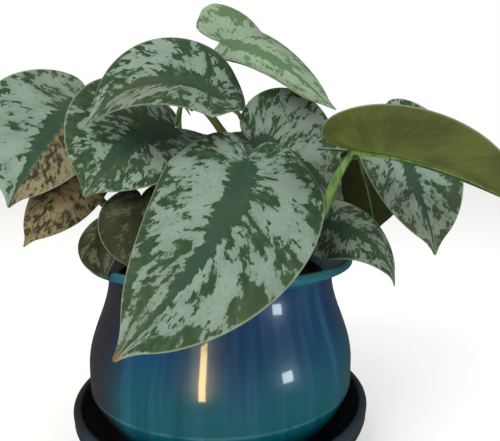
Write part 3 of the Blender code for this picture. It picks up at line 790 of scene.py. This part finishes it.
def blade(spec, upper, under, rows=64, columns=20):
    """A leaf blade: a grid bent to the leaf's shape, with veins pressed in, and then given its thickness."""
    deselect()
    bpy.ops.mesh.primitive_grid_add(x_subdivisions=2 * columns, y_subdivisions=rows, size=1.0)
    piece = bpy.context.object
    shares = np.linspace(0, 1, rows + 1)
    steps = np.linspace(0, 1, columns + 1)
    points = blade_points(spec, shares, steps)
    off = np.abs(np.linspace(-1, 1, 2 * columns + 1))[None, :]
    along = shares[:, None]
    vein = np.exp(-(((along * VEIN_PAIRS) % 1 - 0.5) / VEIN_WIDTH) ** 2)
    vein = vein * np.clip(off * 4, 0, 1) * np.clip((1 - off) * 3, 0, 1)
    rib = np.exp(-((off / RIB_WIDTH) ** 2)) * np.clip((1 - along) * 4, 0, 1) * np.clip(along * 2, 0, 1)
    press = (VEIN_PRESS * vein + RIB_PRESS * rib) * min(1.0, spec["halves"][0] / FULL_PRESS_HALF)
    points = points - grid_normals(points) * press[:, :, None]
    # The grid runs from left to right, and the blade's columns from its right margin to its left.
    piece.data.vertices.foreach_set("co", points[:, ::-1].reshape(-1))
    piece.data.update()
    for finish in (upper, under):
        piece.data.materials.append(finish)
    applied(piece, "thickness", "SOLIDIFY", thickness=BLADE_THICKNESS, offset=-1.0, material_offset=1,
            material_offset_rim=0)
    bpy.ops.object.shade_smooth_by_angle(angle=math.radians(60))
    return named("leaf_" + spec["name"], "leaves")


def screen_colours(group):
    """The colours of a property group by name."""
    values = {name: getattr(group, name) for name in group.__annotations__}
    return {name: tuple(value) for name, value in values.items() if hasattr(value, "hsv")}


def tint_property(label, words, rgb):
    return bpy.props.FloatVectorProperty(name=label, description=words, default=colour(*rgb), min=0, max=1,
                                         size=3, subtype="COLOR")


def length_property(label, words, default):
    return bpy.props.FloatProperty(name=label, description=words, default=default, min=0,
                                   subtype="DISTANCE", unit="LENGTH")


def amount_property(label, words, default):
    return bpy.props.FloatProperty(name=label, description=words, default=default, min=0)


# Settings


class PotSizes(bpy.types.PropertyGroup):
    rim_radius: length_property("Rim radius", "Radius of the pot's lip", POT_RIM_RADIUS)
    neck_radius: length_property("Neck radius", "Radius under the lip", POT_NECK_RADIUS)
    belly_radius: length_property("Belly radius", "Widest radius of the body", POT_BELLY_RADIUS)
    sides: bpy.props.IntProperty(name="Sides", description="Faces round the pot and the saucer",
                                 default=144, min=48)
    deep_blue: tint_property("Deep blue", "Glaze on the upper body", (0, 56, 102))
    teal: tint_property("Teal", "Glaze on the lower body", (0, 86, 98))
    deep_teal: tint_property("Deep teal", "Dark runs in the glaze", (0, 44, 66))
    grey_blue: tint_property("Grey blue", "Light runs in the glaze", (46, 100, 126))
    # Brown where the glaze broke thin, and also the painted dark reflection on the left of the pot and the
    # saucer.
    brown_break: tint_property("Brown break", "Where the glaze is thin", (44, 30, 28))
    lip: tint_property("Lip", "Glaze on the flared lip", (6, 104, 116))
    edge: tint_property("Edge", "Pale line on the rim and the ridge", (84, 140, 146))
    night: tint_property("Night", "Saucer glaze, darkest", (6, 12, 18))
    dark_teal: tint_property("Dark teal", "Saucer glaze, lighter", (4, 34, 44))
    slate: tint_property("Slate", "Sheen on the saucer's lip", (52, 66, 76))
    clay: tint_property("Clay", "Bare foot of the saucer", (96, 62, 44))


class LeafLook(bpy.types.PropertyGroup):
    green: tint_property("Green", "Dark ground of a leaf", (48, 70, 46))
    light_green: tint_property("Light green", "Lighter ground of a leaf", (66, 92, 62))
    rib: tint_property("Rib", "Ground along the midrib", (50, 80, 66))
    silver: tint_property("Silver", "Silver markings", (120, 142, 128))
    light_silver: tint_property("Light silver", "Brightest silver markings", (140, 158, 144))
    warm: tint_property("Warm", "Cast of the older parts of a leaf", (98, 96, 70))
    pale: tint_property("Pale", "Markings of a young pale leaf", (154, 178, 150))
    young_green: tint_property("Young green", "Ground of a young pale leaf", (98, 130, 88))
    # Painted shade: the darker colours that blades lying in shade are blended towards.
    painted_shade_green: tint_property("Old green", "Ground of an old dark leaf", (36, 38, 20))
    painted_shade_silver: tint_property("Old silver", "Markings of an old dark leaf", (72, 74, 48))
    dry: tint_property("Dry", "Dried part of a leaf", (140, 122, 84))
    dry_dark: tint_property("Dry, dark", "Dark veins of a dried part", (56, 52, 32))
    burnt: tint_property("Burnt", "Burnt tip of a leaf", (130, 98, 40))
    margin: tint_property("Margin", "Thin pale line round a leaf", (134, 152, 122))
    under: tint_property("Underside", "Under side of a leaf", (80, 86, 40))
    light_under: tint_property("Underside, light", "Lighter under side of a leaf", (100, 108, 46))
    petiole: tint_property("Petiole", "Leaf stalks", (112, 150, 76))
    dark_petiole: tint_property("Dark petiole", "Darker streaks on a stalk", (76, 110, 52))
    vine: tint_property("Vine", "Vines", (112, 108, 44))
    bark_vine: tint_property("Vine, woody", "Woody foot of a vine and a stalk", (78, 62, 36))


class SoilLook(bpy.types.PropertyGroup):
    soil: tint_property("Soil", "Moist potting mix", (34, 25, 19))
    dry_soil: tint_property("Dry soil", "Drier crumbs", (66, 50, 38))
    bark: tint_property("Bark", "Bits of bark", (104, 78, 54))
    relief: length_property("Relief", "Height of the lumps", 1.5 * MM)


class StageLook(bpy.types.PropertyGroup):
    floor: tint_property("Floor", "Colour of the floor", (250, 250, 250))
    floor_glow: amount_property("Floor glow", "Lifts the floor towards white", 0.3)
    key_power: amount_property("Key light", "Power of the main soft light in watts", 9.0)
    fill_power: amount_property("Fill light", "Power of the fill light in watts", 3.0)
    sky: amount_property("Sky", "Strength of the light from all sides", 0.6)
    room: amount_property("Room", "Strength of what the glaze mirrors", 0.16)
    strip_power: amount_property("Warm strip", "Power of the strip light in watts", 1.0)
    window_power: amount_property("Window", "Power of the cool window light in watts", 1.0)
    lens: amount_property("Lens", "Focal length in millimetres", 33.84)


# Operators


class POTHOS_OT_pot(bpy.types.Operator):
    """Model the glazed pot with its flared lip, neck, belly, ridge and drain hole"""

    bl_idname = "pothos.pot"
    bl_label = "Glazed pot"

    def execute(self, context):
        sizes = context.scene.pothos_pot
        outer = pot_outer(sizes)
        ring = POT_FOOT_RADIUS - POT_FOOT_WIDTH
        recess = POT_FOOT_Z + POT_FOOT_RECESS
        foot = [(ring, POT_FOOT_Z), (ring - 1.5 * MM, recess), (DRAIN_RADIUS, recess)]
        profile = outer + foot + pot_inner(outer)
        thrown(profile + profile[:1], sizes.sides, closed=True)
        pot = named("glazed_pot", "blue_glaze", pot_finish(screen_colours(sizes)))
        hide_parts("pot")
        return {"FINISHED"}


class POTHOS_OT_saucer(bpy.types.Operator):
    """Model the deep saucer under the pot"""

    bl_idname = "pothos.saucer"
    bl_label = "Saucer"

    def execute(self, context):
        sizes = context.scene.pothos_pot
        outer, inner = saucer_profile()
        thrown(outer + inner, sizes.sides, closed=False)
        saucer = named("glazed_saucer", "saucer_glaze", saucer_finish(screen_colours(sizes)))
        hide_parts("saucer")
        return {"FINISHED"}


class POTHOS_OT_soil(bpy.types.Operator):
    """Model the potting mix with a crumbly top"""

    bl_idname = "pothos.soil"
    bl_label = "Potting mix"

    def execute(self, context):
        look = context.scene.pothos_soil
        _, corner, *side = pot_inner(pot_outer(context.scene.pothos_pot))
        floor = (corner[0] - SEAT_GAP, corner[1] + SEAT_GAP)
        wall = [(r - SEAT_GAP, z) for r, z in side if z < SOIL_Z - 1 * MM]
        top_radius = wall[-1][0]
        rings = [(top_radius * (1 - k / SOIL_RINGS), SOIL_Z) for k in range(SOIL_RINGS)]
        thrown([floor] + wall + rings, SOIL_SIDES, closed=False)
        soil = bpy.context.object
        for vert in soil.data.vertices:
            x, y, z = vert.co
            inside = top_radius - 1 * MM - math.hypot(x, y)
            if z > SOIL_Z - 0.1 * MM and inside > 0:
                lumps = noise.noise(Vector((x, y, 0.3)) / SOIL_LUMP)
                crumbs = noise.noise(Vector((x, y, 1.3)) / SOIL_CRUMB)
                vert.co.z = z + look.relief * (lumps + 0.5 * crumbs)
        named("potting_mix", "potting_soil", soil_finish(screen_colours(look)))
        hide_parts("soil")
        return {"FINISHED"}


class POTHOS_OT_stalks(bpy.types.Operator):
    """Model each vine and the petioles that leave it"""

    bl_idname = "pothos.stalks"
    bl_label = "Vines and petioles"

    def execute(self, context):
        look = screen_colours(context.scene.pothos_leaves)
        vine_finish = stalk_finish("vine_skin", look["vine"], look["dark_petiole"], look["bark_vine"], look)
        petiole_finish = stalk_finish("petiole_skin", look["petiole"], look["dark_petiole"], look["vine"],
                                      look)
        for name, vine in VINES.items():
            path = smooth_path(vine["points"], VINE_STEPS)
            path = np.concatenate([[path[0] - np.array([0, 0, VINE_SINK])], path])
            shares = np.linspace(0, 1, len(path))
            radii = VINE_RADIUS * np.linspace(1, VINE_TAPER, len(path))
            for spec in vine["leaves"]:
                radii *= 1 + NODE_SWELL * np.exp(-(((shares - spec["root"]) / NODE_RUN) ** 2))
            vine_piece = tube("vine_" + name, path, radii, vine_finish)
            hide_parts(name)
            for spec in vine["leaves"]:
                points, radii = petiole_points(vine, spec)
                tube("petiole_" + spec["name"], points, radii, petiole_finish)
        return {"FINISHED"}


class POTHOS_OT_leaves(bpy.types.Operator):
    """Model each leaf blade with its silver markings"""

    bl_idname = "pothos.leaves"
    bl_label = "Leaves"

    def execute(self, context):
        look = screen_colours(context.scene.pothos_leaves)
        under = underside_finish("leaf_underside", look, 0.0)
        # Painted shade: a darker under side for leaves that lie in shade.
        shaded_under = underside_finish("old_leaf_underside", look, 0.7)
        seed = FIRST_SEED
        for vine in VINES.values():
            for spec in vine["leaves"]:
                seed += SEED_STEP
                marks = MARKINGS[spec["name"]]
                upper = leaf_finish("leaf_" + spec["name"] + "_upper", marks, seed, look)
                blade(spec, upper, shaded_under if marks["shade"] > 0.5 else under)
        return {"FINISHED"}


class POTHOS_OT_stage(bpy.types.Operator):
    """Set the plain floor, the soft lights and the camera"""

    bl_idname = "pothos.stage"
    bl_label = "Stage"

    def execute(self, context):
        look = context.scene.pothos_stage
        add_floor(look)
        add_sky(look)
        key = soft_light("key", KEY_PLACE, PLANT_MIDDLE, SOFTBOX_SIZE, look.key_power, (1.0, 0.98, 0.95))
        fill = soft_light("fill", FILL_PLACE, PLANT_MIDDLE, SOFTBOX_SIZE, look.fill_power, (0.95, 0.98, 1.0))
        for lamp in (key, fill):
            lamp.visible_glossy = False
        strip = soft_light("strip", STRIP_PLACE, STRIP_SHINE, STRIP_SIZE, look.strip_power, (1, 0.72, 0.3))
        window = soft_light("window", WINDOW_PLACE, WINDOW_SHINE, WINDOW_SIZE, look.window_power,
                            (0.8, 0.92, 1))
        for lamp in (strip, window):
            lamp.visible_diffuse = False
            lamp.visible_camera = False
        add_camera(look)
        return {"FINISHED"}


def add_floor(look):
    """A wide pale floor under the saucer, which no piece mirrors."""
    deselect()
    bpy.ops.mesh.primitive_plane_add(size=12, location=(0, 0, -0.0002))
    bpy.ops.object.transform_apply(location=True, rotation=True, scale=True)
    floor = bpy.context.object
    floor.name = "floor"
    paint = Finish("floor_paint", roughness=0.9, specular_ior_level=0.1)
    paint.shader.inputs["Base Color"].default_value = (*look.floor, 1)
    paint.shader.inputs["Emission Color"].default_value = (1, 1, 1, 1)
    paint.shader.inputs["Emission Strength"].default_value = look.floor_glow
    floor.data.materials.append(paint.material)
    floor.visible_glossy = False


def add_sky(look):
    """White all round for the camera, a soft white for what it lights, and a dim room for glossy faces."""
    world = bpy.data.worlds.new("studio")
    bpy.context.scene.world = world
    world.use_nodes = True
    world.cycles.sampling_method = "NONE"
    tree = world.node_tree
    tree.nodes.remove(tree.nodes["Background"])
    path = tree.nodes.new("ShaderNodeLightPath")

    def background(tint, strength):
        made = tree.nodes.new("ShaderNodeBackground")
        made.inputs["Color"].default_value = (*tint, 1)
        made.inputs["Strength"].default_value = strength
        return made

    def chosen(ray, otherwise, seen):
        """What a kind of ray sees, and what all others do."""
        made = tree.nodes.new("ShaderNodeMixShader")
        tree.links.new(path.outputs[ray], made.inputs[0])
        tree.links.new(otherwise.outputs[0], made.inputs[1])
        tree.links.new(seen.outputs[0], made.inputs[2])
        return made

    soft = background((1.0, 0.99, 0.96), look.sky)
    room = background((0.38, 0.42, 0.44), look.room)
    lit = chosen("Is Glossy Ray", soft, room)
    sky = chosen("Is Camera Ray", lit, background((1, 1, 1), 1))
    tree.links.new(sky.outputs[0], tree.nodes["World Output"].inputs["Surface"])


def soft_light(name, place, target, size, power, tint):
    """A flat light at a place, turned to a target."""
    deselect()
    bpy.ops.object.light_add(type="AREA", location=place)
    lamp = bpy.context.object
    lamp.name = name
    lamp.rotation_euler = (Vector(target) - Vector(place)).to_track_quat("-Z", "Y").to_euler()
    lamp.data.shape = "RECTANGLE"
    lamp.data.size, lamp.data.size_y = size
    lamp.data.energy = power
    lamp.data.color = tint
    return lamp


def add_camera(look):
    """The camera where the photo was taken from."""
    deselect()
    bpy.ops.object.camera_add(location=(0, -CAMERA_BACK, POT_RIM_Z + CAMERA_OVER_RIM))
    camera = bpy.context.object
    camera.rotation_euler = (math.radians(90 - CAMERA_DOWN), 0, math.radians(-CAMERA_RIGHT))
    camera.data.lens = look.lens
    camera.data.sensor_width = 36
    camera.data.clip_start = 0.01
    bpy.context.scene.camera = camera
    bpy.context.scene.view_settings.view_transform = "Standard"


class POTHOS_PT_panel(bpy.types.Panel):
    """Lists the pieces and their settings"""

    bl_label = "Satin pothos"
    bl_idname = "POTHOS_PT_panel"
    bl_space_type = "VIEW_3D"
    bl_region_type = "UI"
    bl_category = "Pothos"

    def draw(self, context):
        for operator in OPERATORS:
            self.layout.operator(operator.bl_idname)
        for group in SETTINGS:
            box = self.layout.box()
            settings = getattr(context.scene, group)
            for name in settings.__annotations__:
                box.prop(settings, name)


OPERATORS = (POTHOS_OT_saucer, POTHOS_OT_pot, POTHOS_OT_soil, POTHOS_OT_stalks, POTHOS_OT_leaves,
             POTHOS_OT_stage)
SETTINGS = {"pothos_pot": PotSizes, "pothos_leaves": LeafLook, "pothos_soil": SoilLook,
            "pothos_stage": StageLook}


def register():
    for group in SETTINGS.values():
        bpy.utils.register_class(group)
    for name, group in SETTINGS.items():
        setattr(bpy.types.Scene, name, bpy.props.PointerProperty(type=group))
    for operator in OPERATORS:
        bpy.utils.register_class(operator)
    bpy.utils.register_class(POTHOS_PT_panel)


def unregister():
    bpy.utils.unregister_class(POTHOS_PT_panel)
    for operator in reversed(OPERATORS):
        bpy.utils.unregister_class(operator)
    for name, group in SETTINGS.items():
        delattr(bpy.types.Scene, name)
        bpy.utils.unregister_class(group)


def main():
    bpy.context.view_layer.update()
    register()
    bpy.ops.pothos.stage()
    bpy.ops.pothos.saucer()
    bpy.ops.pothos.pot()
    bpy.ops.pothos.soil()
    bpy.ops.pothos.stalks()
    bpy.ops.pothos.leaves()
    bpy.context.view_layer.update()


if __name__ == "__main__":
    main()
